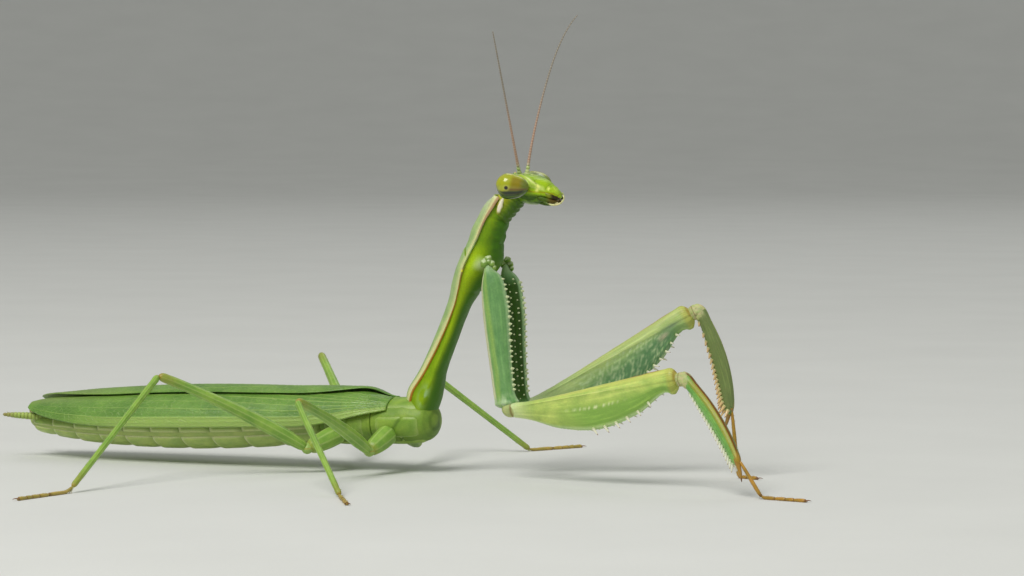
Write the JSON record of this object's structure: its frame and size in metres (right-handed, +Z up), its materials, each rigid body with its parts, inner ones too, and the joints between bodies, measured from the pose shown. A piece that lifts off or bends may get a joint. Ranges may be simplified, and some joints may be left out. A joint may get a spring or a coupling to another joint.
{
  "type": "praying mantis life-size display model",
  "caption": "Life-size still model of a green adult female praying mantis, body raised and forelegs reached out, standing on its own feet.",
  "frame": {"origin": "centre of the bounding box on the floor plane under the feet", "axes": "+X the way the head and body face, +Y the animal's left, +Z up"},
  "size_m": [0.0832, 0.0724, 0.0413],
  "materials": {
    "body": "satin yellow-green cuticle with folds and a pale or pink-brown margin line",
    "eye": "glossy, finely faceted, with a dark spot and an olive patch",
    "feeler": "pink-brown, grey at the tip",
    "mouth_parts": "cream, slightly glossy",
    "foreleg": "waxy sage to pale green with cream margins and brown-tipped spines",
    "foot": "golden brown",
    "walking_leg": "satin green, paler at the joints",
    "wing_case": "leathery green with raised veins and a pale front edge",
    "abdomen": "soft pale green, ringed"
  },
  "bodies": {
    "root": {"abdomen": "abdomen", "antenna_left": "feeler", "antenna_right": "feeler", "cercus_left": "abdomen", "cercus_right": "abdomen", "eye_left": "eye", "eye_right": "eye", "fore_coxa_left": "foreleg", "fore_coxa_right": "foreleg", "fore_femur_left": "foreleg", "fore_femur_right": "foreleg", "fore_tarsus_left": "foot", "fore_tarsus_right": "foot", "fore_tibia_left": "foreleg", "fore_tibia_right": "foreleg", "forewing_left": "wing_case", "forewing_right": "wing_case", "head": "body", "hind_coxa_left": "walking_leg", "hind_coxa_right": "walking_leg", "hind_femur_left": "walking_leg", "hind_femur_right": "walking_leg", "hind_tarsus_left": "foot", "hind_tarsus_right": "foot", "hind_tibia_left": "walking_leg", "hind_tibia_right": "walking_leg", "mesothorax": "body", "metathorax": "body", "mid_coxa_left": "walking_leg", "mid_coxa_right": "walking_leg", "mid_femur_left": "walking_leg", "mid_femur_right": "walking_leg", "mid_tarsus_left": "foot", "mid_tarsus_right": "foot", "mid_tibia_left": "walking_leg", "mid_tibia_right": "walking_leg", "neck": "body", "palp_left": "mouth_parts", "palp_right": "mouth_parts", "prothorax": "body"}
  },
  "joints": []
}
